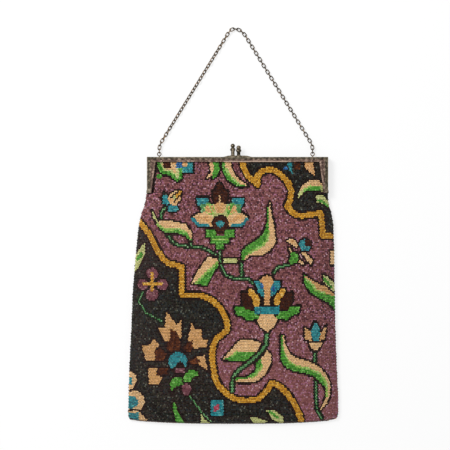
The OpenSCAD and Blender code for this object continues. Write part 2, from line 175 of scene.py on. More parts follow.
# The kiss-lock is two turned brass ball knobs, one fixed on each half's rail, that snap past each other.
# Their plate is rubbed by the fingers.
knob_plate = aged_plate("aged_silver_plate_knob", hollow_z=3.0, face_z=9.0)
for name in ("front_clasp_knob", "rear_clasp_knob"):
    dress(name, knob_plate)

# The carrying chain is oval links bent from plated brass wire, each through the next, and hangs in two ring
# eyes on the rear rail. The plate is thin on the wire, and the brown of the brass comes through it.
WIRE_PLATE = [(0.0, "#1a160f"), (0.35, "#403524"), (0.6, "#6c5941"), (0.9, "#b09072")]
chain_plate = aged_plate("aged_silver_plate_wire", hollow_z=0.5, face_z=3.6, shades=WIRE_PLATE)
for name in ("left_chain_eye", "right_chain_eye", "chain_left_run"):
    dress(name, chain_plate)
# The right run is drawn darker
dark_chain_plate = aged_plate("aged_silver_plate_wire_dark", hollow_z=0.5, face_z=9.0, shades=WIRE_PLATE)
dress("chain_right_run", dark_chain_plate)

# The bag is knitted of silk thread, folded at the bottom, closed at the sides up to the hinges and sewn in
# under the frame. This ground carries the beads: a front and a back sheet that meet at the side seams.
# Stations up the bag, in mm: height, half width left and right, front over the middle, side seam, squareness
STATIONS = np.array([
    (-127.6, 101.5, 90.5, 3.1, 1.7, 5), (-126.8, 103.4, 93.6, 5.4, 2.0, 5),
    (-124.5, 104.2, 95.6, 7.5, 2.9, 5), (-118.5, 104.6, 96.6, 9.9, 3.4, 5),
    (-104.0, 104.3, 96.5, 11.7, 3.4, 5), (-71.0, 103.3, 94.9, 12.7, 3.4, 5),
    (-38.0, 101.7, 93.8, 13.0, 3.4, 5), (0.0, 100.2, 93.1, 13.0, 3.4, 5),
    (38.0, 97.0, 92.6, 12.7, 3.4, 5), (62.9, 94.4, 91.8, 12.5, 3.4, 6),
    (74.2, 91.6, 89.8, 12.1, 3.4, 7), (79.0, 89.6, 88.0, 11.8, 3.4, 7),
    (85.5, 88.0, 86.8, 11.4, 3.4, 8), (91.6, 87.4, 86.6, 10.8, 3.4, 10),
    (92.6, 82.9, 82.9, 10.6, 3.4, 14), (99.0, 83.3, 83.3, 10.3, 3.4, 14),
    (120.0, 82.0, 82.0, 9.2, 3.4, 14), (121.3, 82.0, 82.0, 9.0, 3.4, 14),
    (124.6, 81.8, 81.8, 8.4, 3.4, 14)])
BOTTOM_Y, MOUTH_Y, HINGE_Y = -127.6, 124.6, 93.5
# The bottom corners are drawn up a little, in mm
CORNER_LIFT = 3.6
# The back lies on the floor and rises behind the lip of the rear frame half
BACK_Y, BACK_Z = (80, 95), (0.7, 1.4)
# Over the hinges the side seams end and the front cloth lies up against the front frame half
SLIT_Y, SLIT_RUN, SLIT_FRONT = 92.6, 6.0, 7.6
# Runs over which the cloth comes loose from its sewn edges: mm from mouth and bottom, shares from a side
LOOSE_MOUTH, LOOSE_BOTTOM, LOOSE_SIDE = (4, 40), (2, 30), (0.03, 0.3)
# Fine pleats that fade in towards the frame: depth, wave step, sway and its step, and heights of the fade
PLEAT_DEEP, PLEAT_STEP, PLEAT_SWAY, PLEAT_SWAY_STEP, PLEAT_RUN = 0.35, 4.6, 0.8, 31, (20, 95)
# One broad roll over the whole bag: depth, wave step across and up, and where it starts
ROLL_DEEP, ROLL_ACROSS, ROLL_UP, ROLL_START = 0.5, 29, 47, 1
# Share of the half width where the back turns up to the side seam, and the share over which it does so
TURN_FROM, TURN_RUN = 0.93, 0.07


def eased(value, start, end):
    t = np.clip((value - start) / (end - start), 0, 1)
    return t * t * (3 - 2 * t)


# Points of the cloth's outside for u across (-1 left seam, 1 right seam) and height y, sunk in by some mm
def cloth_point(u, y, sunk, front):
    columns = STATIONS[:, 1:].T
    left, right, middle, seam, square = (np.interp(y, STATIONS[:, 0], column) for column in columns)
    x = u * (np.where(u > 0, right, left) - sunk)
    lift = CORNER_LIFT * np.maximum(0, -y / RAIL_Y) ** 3 * np.abs(u) ** 3
    arch = np.sqrt(np.maximum(0, 1 - np.abs(u) ** square))
    loose = eased(MOUTH_Y - y, *LOOSE_MOUTH) * eased(y - BOTTOM_Y, *LOOSE_BOTTOM)
    loose *= eased(1 - np.abs(u), *LOOSE_SIDE)
    pleats = PLEAT_DEEP * np.sin(x / PLEAT_STEP + PLEAT_SWAY * np.sin(y / PLEAT_SWAY_STEP))
    pleats *= eased(y, *PLEAT_RUN)
    roll = ROLL_DEEP * np.sin(x / ROLL_ACROSS + y / ROLL_UP + ROLL_START)
    apart = eased(y, SLIT_Y, SLIT_Y + SLIT_RUN)
    edge_z = seam + (SLIT_FRONT - seam) * apart
    top = edge_z + np.maximum(0, middle - sunk - edge_z) * arch + (pleats + roll) * loose
    turn = np.clip((np.abs(u) - TURN_FROM) / TURN_RUN, 0, 1)
    back = np.interp(y, BACK_Y, BACK_Z) + sunk
    under = back + np.maximum(0, seam - back) * turn ** 2 * (1 - apart)
    return np.stack([x, y + lift, np.where(front, top, under)], axis=-1)


# Height of the round bottom fold, in mm, and the close rows of points on it
FOLD_HIGH, FOLD_ROWS = 8, 8


# A sheet of cloth with its wall on the inner side, on a net that is closer at the seams and the bottom fold
def cloth_sheet(name, across, up, sunk, front, thickness, material):
    spread = np.sin(np.linspace(-1, 1, across) * math.pi / 2)
    fold_heights = BOTTOM_Y + FOLD_HIGH * np.linspace(0, 1, FOLD_ROWS)[:-1] ** 2
    heights = np.concatenate([fold_heights, np.linspace(BOTTOM_Y + FOLD_HIGH, MOUTH_Y, up)])
    u, y = np.meshgrid(spread, heights)
    points = cloth_point(u, y, sunk, front).reshape(-1, 3) * MM
    faces = []
    for j in range(len(heights) - 1):
        for i in range(across - 1):
            a = j * across + i
            quad = (a, a + 1, a + across + 1, a + across)
            faces.append(quad if front else quad[::-1])
    mesh = bpy.data.meshes.new(name)
    mesh.from_pydata(points.tolist(), [], faces)
    mesh.polygons.foreach_set("use_smooth", [True] * len(faces))
    sheet = bpy.data.objects.new(name, mesh)
    bpy.context.collection.objects.link(sheet)
    mesh.materials.append(material)
    bpy.ops.object.select_all(action="DESELECT")
    bpy.context.view_layer.objects.active = sheet
    wall = sheet.modifiers.new("wall", "SOLIDIFY")
    wall.thickness = thickness * MM
    wall.offset = -1
    bpy.ops.object.modifier_apply(modifier="wall")
    return sheet


# Knitted silk thread: matt and dark brown-plum, ribbed by its stitches. Step and depth of a stitch, in mm
STITCH, RIB_DEEP = 1.43, 0.3


# Scale of a wave texture whose bands are so many mm apart
def band_scale(step):
    return 1 / (step * MM) / math.pi


knit_silk, tree = new_material("knitted_silk_thread")
place = add_node(tree, "ShaderNodeTexCoord").outputs["Object"]
stitches = add_node(tree, "ShaderNodeTexWave", {
    "Vector": place, "Scale": band_scale(STITCH), "Distortion": 0.6, "Detail": 1.0}, bands_direction="Y")
colour = add_node(tree, "ShaderNodeValToRGB", {"Fac": stitches.outputs["Fac"]}, stops=[
    (0.0, "#1c100f"), (1.0, "#4a2c2c")])
ribs = add_node(tree, "ShaderNodeBump", {
    "Height": stitches.outputs["Fac"], "Strength": 0.6, "Distance": RIB_DEEP * MM})
shader = add_node(tree, "ShaderNodeBsdfPrincipled", {
    "Base Color": colour.outputs["Color"], "Roughness": 0.85, "Normal": ribs.outputs["Normal"]})
add_node(tree, "ShaderNodeOutputMaterial", {"Surface": shader.outputs["BSDF"]})

# Points across and up, how far the knit lies below the tops of the beads, and its thickness, in mm
KNIT_ACROSS, KNIT_UP, KNIT_SUNK, KNIT_THICK = 81, 110, 0.75, 0.45
knit = {}
for side in ("front", "back"):
    knit[side] = cloth_sheet(
        "knit_" + side, KNIT_ACROSS, KNIT_UP, KNIT_SUNK, side == "front", KNIT_THICK, knit_silk)
    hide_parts("beaded_pouch")
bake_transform(knit["front"])
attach(knit["back"], "bag")

# The beads are small glass seed beads, threaded on the silk and knitted in, one to a stitch, in rows 1.43 mm
# apart. One is modelled as a low dome, and a copy lies on each stitch, coloured by the knitting chart.
# Sides of a bead, the width of its crown as a share of its foot, and how level the normal of an end face is
BEAD_SIDES, BEAD_CROWN, LEVEL_FACE = 6, 0.6, 0.9
bpy.ops.object.select_all(action="DESELECT")
bpy.ops.mesh.primitive_cylinder_add(vertices=BEAD_SIDES, radius=0.5, depth=1.0, location=(0, 0, 0.5))
pattern_bead = bpy.context.object
bpy.ops.object.mode_set(mode="EDIT")
bpy.ops.mesh.select_mode(type="FACE")
bpy.ops.mesh.select_all(action="DESELECT")
bpy.ops.object.mode_set(mode="OBJECT")
for face in pattern_bead.data.polygons:
    face.select = face.normal.z < -LEVEL_FACE
bpy.ops.object.mode_set(mode="EDIT")
bpy.ops.mesh.delete(type="FACE")
bpy.ops.object.mode_set(mode="OBJECT")
for face in pattern_bead.data.polygons:
    face.select = face.normal.z > LEVEL_FACE
bpy.ops.object.mode_set(mode="EDIT")
bpy.ops.transform.resize(value=(BEAD_CROWN, BEAD_CROWN, 1))
bpy.ops.object.mode_set(mode="OBJECT")
bead_points = np.array([v.co for v in pattern_bead.data.vertices])
bead_faces = [list(face.vertices) for face in pattern_bead.data.polygons]
bpy.data.objects.remove(pattern_bead)

# Step from row to row, and how far above the fold the measured cloth and then the first row start, in mm
ROW_PITCH, FOLD_CLEAR, ROW_FIRST = 1.43, 0.4, 0.2
# A bead's width, length and height, in mm
BEAD_WIDE, BEAD_HIGH, BEAD_TALL = 1.95, 1.9, 0.8
# Fine steps for measuring lengths up and across the cloth, which are closer beside a seam
FINE_UP, FINE_ACROSS, NEAR_SEAM, AT_SEAM = 6000, 300, 0.9, 0.999


def length_along(points):
    return np.concatenate([[0], np.cumsum(np.linalg.norm(np.diff(points, axis=0), axis=1))])


# Rows lie at equal steps along the middle of the sheet, and the stitches of a row at equal steps across it
def stitch_places(front):
    fine = np.linspace(BOTTOM_Y + FOLD_CLEAR, MOUTH_Y, FINE_UP)
    along = length_along(cloth_point(np.zeros_like(fine), fine, 0, front))
    rows = np.interp(np.arange(ROW_FIRST, along[-1], ROW_PITCH), along, fine)
    places = []
    wide_steps = np.linspace(0, NEAR_SEAM, FINE_ACROSS)
    close_steps = np.linspace(NEAR_SEAM, AT_SEAM, FINE_ACROSS)
    reach = np.concatenate([wide_steps, close_steps[1:]])
    for number, y in enumerate(rows):
        for way in (-1, 1):
            u = way * reach
            run = length_along(cloth_point(u, np.full_like(u, y), 0, front))
            first = STITCH / 2 - way * (number % 2) * STITCH / 2
            stitches_u = np.interp(np.arange(first, run[-1], STITCH), run, u)
            places.append(np.stack([stitches_u, np.full_like(stitches_u, y)], axis=-1))
    return np.concatenate(places)


# The chart: a traditional carpet pattern of palmettes, tulips and two-coloured leaves on a plum and a black
# ground that meet along a gold scroll. One unit of the chart is 0.95 mm; x runs right and y down.
CHART_MM = 0.95
# Place in the chart of the middle of the rail's top
CHART_X, CHART_Y = 237.5, 157.0
# Widths in the chart: the dark outline, a leaf's rib, the gold scroll, and a stem and its dark edge
OUTLINE, RIB, SCROLL, STEM, MAIN_STEM, STEM_EDGE = 1.9, 2.2, 5.6, 1.3, 2.4, 2.0
GOLD_RIGHT = [
    (241, 158), (244.7, 170), (249, 177), (255, 181.5), (257.5, 184.5), (257.5, 176), (261.5, 171.5),
    (269.6, 169.3), (277, 171.5), (283, 177), (288.5, 183), (291.3, 191), (290, 200), (287, 205.5),
    (291, 211.4), (296, 215), (302.6, 215.8), (321, 213), (322.5, 228), (322.9, 236), (340, 236.5)]
GOLD_LEFT = [
    (134, 216), (139, 222), (146.8, 231), (153, 241), (158, 251), (163, 259), (169.3, 263.5),
    (182, 266.7), (182, 295), (200, 295), (210.7, 299), (219.8, 307), (225.4, 317), (227.5, 325),
    (226.3, 331), (224, 332.5), (216, 339), (212.4, 349), (212.4, 361), (214.6, 375.7), (219, 386),
    (228, 394.5), (235.3, 398.8), (246.8, 400.7), (258.3, 398.8), (266, 391), (272, 382.7), (279.7, 386),
    (287.3, 393.5), (293.5, 402.6), (299.6, 415.6), (303, 428)]
# Corners past the edge of the bag that close the two black grounds
NIGHT_RIGHT_FAR = [(350, 236.5), (350, 140), (241, 140)]
NIGHT_LEFT_FAR = [(303, 440), (110, 440), (110, 216)]


# Which beads lie inside an outline of the chart
def chart_inside(points):
    found = np.zeros(len(chart_x), bool)
    for (x0, y0), (x1, y1) in zip(points, points[1:] + points[:1]):
        if y0 != y1:
            crossing = (x1 - x0) * (chart_y - y0) / (y1 - y0) + x0
            found ^= ((y0 > chart_y) != (y1 > chart_y)) & (chart_x < crossing)
    return found


# A distance past any in the chart, and the least squared length of a stretch of line
FAR, TINY = 1e9, 1e-9


# How far each bead lies from a line of the chart
def chart_distance(points):
    best = np.full(len(chart_x), FAR)
    for (x0, y0), (x1, y1) in zip(points, points[1:]):
        dx, dy = x1 - x0, y1 - y0
        t = np.clip(((chart_x - x0) * dx + (chart_y - y0) * dy) / max(dx * dx + dy * dy, TINY), 0, 1)
        best = np.minimum(best, np.hypot(chart_x - x0 - t * dx, chart_y - y0 - t * dy))
    return best


def field(points, glass):
    bead_glass[chart_inside(points)] = glass


def line(points, width, glass, edge=None, edge_width=OUTLINE):
    away = chart_distance(points)
    if edge:
        bead_glass[away < width / 2 + edge_width] = edge
    bead_glass[away < width / 2] = glass


# A motif is a set of fields with one dark outline round them all
def motif(*fields, rim=OUTLINE, rim_glass="outline"):
    for points, glass in fields:
        bead_glass[chart_inside(points) | (chart_distance(points + points[:1]) < rim)] = rim_glass
    for points, glass in fields:
        field(points, glass)


# A leaf in two colours that meet along its rib
def leaf(green_edge, pale_edge, rib, pale="ivory", green="green"):
    motif((green_edge + rib[::-1], green), (pale_edge + rib[::-1], pale))
    line(rib[1:-1] or rib, RIB, "lime")


def block(x0, x1, y0, y1):
    return [(x0, y0), (x1, y0), (x1, y1), (x0, y1)]


DISC_POINTS = 16


def disc(x, y, radius, squash=1.0):
    turns = np.linspace(0, 2 * math.pi, DISC_POINTS + 1)[:-1]
    return [(x + radius * math.cos(turn), y + squash * radius * math.sin(turn)) for turn in turns]


# The plum and black grounds and the gold scroll between them
def paint_grounds():
    bead_glass[:] = "plum"
    field(GOLD_RIGHT + NIGHT_RIGHT_FAR, "night")
    field(GOLD_LEFT + NIGHT_LEFT_FAR, "night")
    line(GOLD_RIGHT, SCROLL, "gold", "outline")
    line(GOLD_LEFT, SCROLL, "gold", "outline")


# The green stems with their dark edges
def paint_stems():
    for points in (
            [(167.9, 235.4), (173.5, 242.5), (179, 245.3), (190.4, 246.7), (200.2, 247), (208.6, 250.2),
             (216.3, 255)],
            [(190.7, 240.4), (191, 245.3)], [(241.4, 262.8), (241.8, 276.6)],
            [(220.2, 248), (219.8, 259.3), (222, 267.7), (226, 275.4), (235, 278.6), (248.3, 278.5),
             (252.9, 282.7)],
            [(288.9, 264.4), (278, 267.4), (273.6, 272.8)],
            [(165.8, 207.2), (161.6, 212.1), (160.9, 219.1)],
            [(315, 351.4), (314.5, 362)], [(316, 379.7), (316, 396.5), (316.8, 408.8), (321.8, 418.7)],
            [(142.6, 292), (138.4, 300.7), (146, 313), (152.4, 316), (163, 321.7)]):
        line(points, STEM, "stem", "deep_green", STEM_EDGE)
    line([(266.7, 332.2), (266, 344.5), (260.6, 351.4), (252, 359.8), (239, 369.7), (234.5, 375),
          (232.2, 383.5), (232.2, 391.2)], MAIN_STEM, "stem", "deep_green", STEM_EDGE)
    line([(189.7, 395.6), (203.6, 414.6), (211, 422)], STEM, "stem")


# A flower and two leaves cut by the frame, a bud and a leaf on the stem below, and a painted shadow by the
# left arm
def paint_upper_left():
    # A band of dark outline beads down the left arm's inner edge is a painted shadow of the frame on the
    # cloth
    line([(155.4, 160), (155, 176), (153.6, 185), (152.4, 192)], 2.4, "outline")
    motif(([(157.1, 158), (157.1, 168), (159.3, 171), (163.6, 174.6), (168.6, 175), (172.9, 178),
            (176.4, 181), (180, 180.7), (182, 178), (182.2, 158)], "green"),
          (block(182.2, 193, 158, 172.4), "teal"))
    field([(160.4, 158), (160.8, 166), (163.6, 171), (170, 171.6), (174, 174), (177.6, 178.5),
           (179.6, 177), (178.8, 171), (177, 158)], "leaf_yellow")
    field([(162, 158), (162.4, 166), (166, 169), (172, 169.7), (176.3, 174), (177, 158)], "ivory")
    field(block(163.4, 171.2, 158, 167.4), "brown")
    field(block(172.6, 176, 158, 163), "peach")
    field(block(176, 182.4, 162, 168.4), "blue")
    field(disc(184.8, 164.6, 2.7), "peach")
    field(block(156.7, 161.6, 174, 178), "green")
    leaf([(212.8, 158), (218.4, 161), (219.5, 169.3), (217.7, 175), (212.8, 178.8)],
         [(207.9, 158), (210, 166.5), (210.7, 172), (206.5, 178.4)],
         [(212.8, 158), (214, 168), (212, 176)])
    leaf([(221.2, 158), (223.3, 172), (228.2, 180.5), (235.3, 185.4), (240, 186.8), (248, 186)],
         [(230.4, 158), (231.8, 169.3), (235.3, 175), (240, 179.8), (248, 186)],
         [(224, 158), (226, 169), (231, 177), (239, 184), (248, 186)])
    field([(158.4, 197.4), (162.6, 193.8), (163, 200.6)], "brown")
    field([(169.6, 212.6), (174.8, 212.6), (172.2, 218)], "brown")
    motif(([(163.6, 191.5), (168, 196), (169.5, 203), (167.5, 206), (163, 203.5), (162.6, 199)], "teal"),
          ([(167.5, 205), (176.5, 204.6), (178.8, 210.6), (172, 211.6), (168.3, 211)], "teal"),
          ([(167.6, 196.6), (174.5, 190.8), (178.4, 191.6), (181.6, 193.4), (180.6, 197.4), (181, 199.2),
            (175.4, 206), (171, 204.4), (168.4, 201)], "ivory"), rim=1.5)
    field([(163.2, 190.8), (166.8, 194.6), (162.8, 196)], "night")
    line([(173, 199.2), (180.2, 192.4)], 3, "amber", "outline", 1.6)
    field(disc(174.8, 197.4, 1.6), "leaf_yellow")
    field(disc(171.8, 200.6, 2.2), "peach")
    leaf([(153.2, 217), (158, 225), (160.2, 229), (166.5, 233.3), (179, 233.3), (186, 236),
          (189.6, 240.4), (191.8, 239.6)],
         [(151.8, 210), (158, 222), (160.2, 221.3), (172, 221.2), (186, 224.2), (191.8, 232.6),
          (191.8, 239.6)],
         [(153.2, 217), (158, 225), (166.5, 229.8), (179, 229), (186, 232), (191.8, 239.6)])
    field([(151.8, 210), (153.2, 217), (158, 225), (158.6, 221.8)], "leaf_yellow")


# The stepped palmette under the clasp, with a brown crown and eye and a green foot
def paint_upper_palmette():
    motif(([(219.3, 182.6), (216.6, 185.5), (216.2, 189.6), (213, 190.8), (212.8, 198), (215.2, 203.5),
            (217.5, 206), (223, 206), (225.4, 203.5), (227.6, 198), (227.4, 190.8), (223, 189.6),
            (222.4, 185.5)], "brown"),
          ([(196.7, 197.4), (208.5, 197.4), (208.5, 203.5), (204, 204.5), (200.5, 208), (197.5, 204)],
           "teal"),
          ([(231.6, 198.5), (243.9, 198.5), (243.4, 205), (240.5, 208), (236.5, 204.5), (231.6, 203.5)],
           "teal"),
          ([(200.5, 205), (208.5, 202.5), (214, 205), (214, 214), (206, 213), (201, 213)], "stem"),
          ([(241, 205), (231.6, 202.5), (226, 205), (226, 214), (235, 213), (240.5, 213)], "stem"),
          ([(192.5, 217), (197, 214), (204, 212), (213, 214), (213.5, 226.5), (199.5, 226.5)], "ivory"),
          ([(247.8, 217), (243.5, 214), (236.5, 212), (227.5, 214), (227, 226.5), (241, 226.5)], "ivory"),
          ([(213, 204), (220, 202.5), (227, 204), (230, 211), (227, 217), (213, 217), (210, 211)],
           "leaf_yellow"))
    field([(203.5, 208), (207.5, 204.5), (212, 205), (215, 210), (213, 215.5), (206.5, 213)], "lime")
    field([(237, 208), (233, 204.5), (228.5, 205), (225.5, 210), (227.5, 215.5), (234, 213)], "lime")
    field([(204.8, 207), (208.5, 204.6), (213, 206.5), (213.8, 212), (209, 213), (206, 211.5)], "peach")
    line([(209.6, 204.8), (210.4, 209), (213, 212.8)], 1.6, "lime")
    field([(228, 206.5), (232, 204.6), (236.2, 206.5), (236, 211), (231, 213), (228, 212)], "peach")
    line([(231.8, 204.8), (230.8, 209.5), (228.4, 213)], 2.6, "green")
    field([(215, 204), (220, 202.5), (225.5, 204), (226, 209), (222.5, 213.5), (217.5, 213.5),
           (214.5, 209)], "peach")
    line([(199.5, 217.5), (206, 218), (211, 222.5)], 4.2, "peach")
    line([(241, 217), (235, 218), (229.5, 222.5)], 4.2, "peach")
    line([(193, 219), (198.5, 224.8), (208, 226)], 3.2, "teal")
    line([(247.2, 219), (242, 224.8), (232, 226)], 3.2, "teal")
    line([(220, 196), (220, 204.4)], 1.8, "ivory")
    line([(198, 227.4), (243, 227.4)], 1.4, "outline")
    motif((block(206.5, 216, 229, 236.6), "green"), (block(224.4, 234, 229, 236.6), "green"),
          (block(211, 229, 235.6, 243), "green"), (block(216.4, 223.6, 243, 249.5), "green"))
    for x0, x1, y in ((207, 215, 236), (225, 233.5, 236), (212, 228.5, 239.4)):
        line([(x0, y), (x1, y)], 0.9, "lime")
    field(block(216.4, 224, 228, 235), "brown")
    line([(217, 235.6), (224, 235.6)], 1.4, "mauve")
    motif((disc(220.3, 223.6, 7.6), "brown"), rim=1.2)
    field(disc(220.3, 224, 4.2, 0.85), "teal")


# Two leaves on the middle stem, and one at the left edge
def paint_middle_leaves():
    leaf([(217.7, 262), (219, 265.6), (213.5, 272), (209.3, 279.6), (206.5, 285.3), (197.4, 284.2),
          (196, 282.5)],
         [(217.7, 262), (217, 258), (207.9, 257.2), (200.2, 267.7), (194.6, 276), (192.1, 283.2),
          (196, 282.5)],
         [(217.7, 262), (196, 282.5)])
    motif((block(223.3, 237, 258.5, 263), "leaf_yellow"))
    leaf([(267.4, 207), (267.4, 220), (265, 229.2), (260.6, 236.8), (248.3, 245.2), (242.2, 250.6),
          (241, 259.8)],
         [(270, 202), (271, 213), (274, 224.6), (274.7, 233), (275.9, 242), (269.7, 250.6),
          (261.3, 255.2), (249.8, 255.6), (243.7, 260.6)],
         [(269, 206), (269, 231.5), (267.4, 240), (261.3, 246.8), (249, 253), (243, 260)])
    motif(([(144.9, 243), (144.6, 253.5), (142.4, 259.8), (137.8, 268), (130, 275), (130, 258),
            (136.5, 253), (141, 246.6)], "leaf_yellow"))
    field([(136, 257), (141.5, 251), (143, 254), (140.5, 258.5), (136, 261)], "green")


# The mauve quatrefoil with an amber cross, on the black ground
def paint_quatrefoil():
    motif((disc(152.3, 273.8, 6), "mauve"), (disc(152, 294.2, 6.3), "mauve"),
          (disc(142.4, 284.4, 5.4), "mauve"), (disc(162.6, 284.6, 5.4), "mauve"))
    line([(152.3, 273.5), (152.3, 290)], 3.4, "amber")
    line([(144, 284), (161, 284)], 3.4, "amber")
    for x, y in ((148.7, 280), (156, 280), (148.7, 287.8), (156, 287.8)):
        field(disc(x, y, 1.7), "outline")


# The palmette in the middle, with teal and amber petals over an ivory cup
def paint_lower_palmette():
    motif(([(254.2, 281), (260.5, 281), (263.8, 289), (264, 297.2), (258.6, 293)], "teal"),
          ([(273.3, 281), (280.4, 281), (279.8, 287), (275.5, 293), (270, 297.2), (270.2, 289)], "teal"),
          ([(248.2, 288), (252.3, 289.3), (259.8, 297.8), (259.2, 307), (254.2, 307), (252.8, 300.5),
            (248.7, 294)], "amber"),
          ([(285.2, 288), (284.8, 295), (280, 298.7), (279.2, 305.6), (273.7, 305.6), (274.1, 298.7),
            (280, 289.4)], "amber"),
          ([(241.7, 292.2), (247.7, 292.2), (252.8, 300.5), (254.2, 309.8), (245, 309.8), (242.2, 304.3)],
           "brown"),
          ([(292.2, 292.2), (285.7, 293.1), (280, 300.5), (279.2, 309.8), (288.5, 308.9), (292.2, 300.5)],
           "brown"),
          ([(234.8, 307), (244, 307), (245.9, 309.8), (254.2, 310.7), (256, 314.4), (259.8, 316.3),
            (257.9, 319.1), (245.9, 319.5), (242.2, 315.4), (235.7, 314.4)], "green"),
          ([(299.6, 305.6), (289.4, 307), (287.6, 310.7), (279.2, 310.7), (278.3, 314.4), (273.7, 318.1),
            (287.6, 319.5), (291.3, 315.4), (298.7, 312.6)], "green"),
          ([(254.2, 307), (279.2, 305.6), (279.2, 313.8), (259.8, 314.6), (254.2, 313.5)], "teal"),
          ([(259.8, 314.4), (273.7, 314.4), (277.4, 320), (272.7, 327.4), (267.2, 331.6), (260.7, 327.4),
            (256.5, 320.5)], "ivory"),
          ([(266.8, 275), (262, 277), (259.5, 281), (263.8, 289), (264.4, 305), (269.6, 305),
            (270.2, 289), (274, 281), (271.8, 277)], "peach"))
    field(block(260, 264.2, 297.2, 305), "outline")
    field(block(269.8, 273.6, 297.2, 305), "outline")
    field(disc(262, 285.5, 1.6, 2), "blue")
    field(disc(273.5, 288.5, 1.6, 2), "blue")


# The leaves in the lower half and at the right edge
def paint_lower_leaves():
    leaf([(222.3, 359.4), (245.2, 361.3), (258.3, 349.8), (256.7, 351.4)],
         [(222.3, 359.4), (230, 350.6), (237.6, 341.4), (243, 339), (256.7, 340.7), (261.3, 343.7),
          (258.3, 349.8)],
         [(222.3, 359.4), (231.5, 356), (236.8, 351.4), (256.7, 351.4)])
    leaf([(255.2, 362.8), (256.7, 367.4), (253, 372.8), (246.8, 376.6), (235.3, 378)],
         [(261.3, 358.3), (266.7, 349.8), (271, 355.2), (270.5, 364.4), (266, 372.8), (258.3, 380.4),
          (249, 382.4), (235.3, 382)],
         [(261.3, 358.3), (262, 366), (256.7, 373.6), (252, 377.4), (235.3, 380)])
    leaf([(280.4, 334.5), (280.4, 350.6), (281.2, 360.6), (285.8, 366.7), (293.5, 370.5), (304.2, 372.8),
          (314, 376), (321.8, 383.5), (326.4, 389), (326.4, 396.5), (320.2, 410.3)],
         [(283.5, 335.3), (285.8, 346.8), (290.4, 353.7), (296.5, 357.5), (308.8, 361.3), (318.7, 366),
          (327, 375), (330.6, 385), (330.2, 395), (327, 403.4), (320.2, 410.3)],
         [(282, 335), (284.3, 353), (289, 361.3), (296.5, 366), (308, 368.2), (319.5, 372.8),
          (327, 383.5), (327, 396), (320.2, 410.3)])
    leaf([(303.9, 274), (303.9, 282.4), (310.3, 292.4), (321, 298.9), (328.1, 302.4), (338, 312)],
         [(303.9, 274), (310.3, 279.6), (319.6, 284.2), (326.7, 286.7), (338, 295)],
         [(303.9, 274), (305.8, 279), (311.7, 284), (316, 290.3), (324.6, 293.1), (338, 297)],
         pale="apricot")
    motif(([(323.1, 275.3), (326.7, 276), (338, 286), (338, 294.5), (330.3, 288.1), (323.9, 282.4)],
           "leaf_yellow"))
    line([(324.5, 279), (328, 283), (331.5, 287.5)], 2.2, "green")
    motif((block(331, 340, 250.6, 265), "ivory"))
    motif(([(266, 409.5), (275, 410.3), (282.7, 417.2), (284.3, 426), (272, 420)], "leaf_yellow"))
    line([(270, 412), (278, 418)], 2.5, "green")
    motif(([(249.8, 416.8), (259.8, 418.7), (269, 422.5), (254.4, 426)], "leaf_yellow"))


# A tulip and a bud at the right, and the flowers and leaves cut by the frame there
def paint_right_flowers():
    motif(([(315, 321.5), (311.8, 327.7), (310.3, 333.8), (313.3, 341), (318.7, 341), (320.2, 334.5),
            (319.5, 327.7)], "teal"),
          ([(304.5, 327.7), (310.3, 331.5), (312, 341), (304.9, 339)], "apricot"),
          ([(326.4, 325.4), (321, 332.2), (319, 341), (324.8, 339)], "apricot"),
          ([(308.8, 342.2), (322.5, 343), (318, 349.8), (311, 349)], "ivory"))
    motif((disc(304.9, 245.2, 6), "teal"),
          ([(286.4, 240.8), (290.4, 238.4), (294, 240), (298.4, 244.8), (296.4, 247.6), (293.2, 245.6),
            (289.2, 242.6)], "ivory"),
          ([(288.4, 248.4), (290.8, 248.4), (292.4, 252), (290.4, 253.2)], "ivory"),
          ([(300.8, 252), (305.2, 252.8), (312.8, 260), (310.8, 265.2), (306, 258.8)], "ivory"),
          ([(290.8, 253.2), (294, 252), (298, 254), (298.4, 259.2), (297.2, 262.4), (291.6, 264),
            (288.8, 262.4)], "green"),
          ([(298.8, 259.6), (304.6, 263), (303.2, 265), (298.2, 262)], "ivory"))
    field([(304.5, 238.8), (311, 240.5), (311.5, 246.5), (304.8, 246.2)], "brown")
    field(disc(299.3, 248.6, 1.6), "mauve")
    field(disc(292.5, 241.2, 1.3), "peach")
    motif(([(303.5, 158), (311.8, 158), (314.6, 171.5), (314.3, 175), (309.3, 172.3), (305.2, 167.3)],
           "peach"))
    field(block(294.6, 300.4, 158, 169), "rust")
    field(disc(285.6, 168.2, 1.9), "blue")
    field([(286.5, 158), (291.6, 158), (292.6, 174), (289, 170)], "teal")
    leaf([(298.2, 199), (300.4, 196), (304, 191.6), (310.7, 190.2), (323.2, 190.2), (323.2, 185.8)],
         [(298.2, 199), (298.2, 193), (303.4, 184.3), (310, 180), (318.8, 180), (323.2, 185.8)],
         [(298.2, 199), (303, 190), (311, 186), (323.2, 185.8)])
    field([(297.8, 199.5), (297.8, 193.5), (302, 189), (304.5, 190.5), (300.5, 196)], "leaf_yellow")
    field([(320.5, 183.5), (324, 188), (323.8, 194), (321, 191.5)], "leaf_yellow")
    motif(([(316, 194.8), (322.7, 194.8), (330, 202.5), (330, 207.5), (322.7, 203.5), (316.5, 202)],
           "leaf_yellow"))
    line([(318.5, 200.5), (323, 201.5), (328.5, 206)], 2.2, "green")


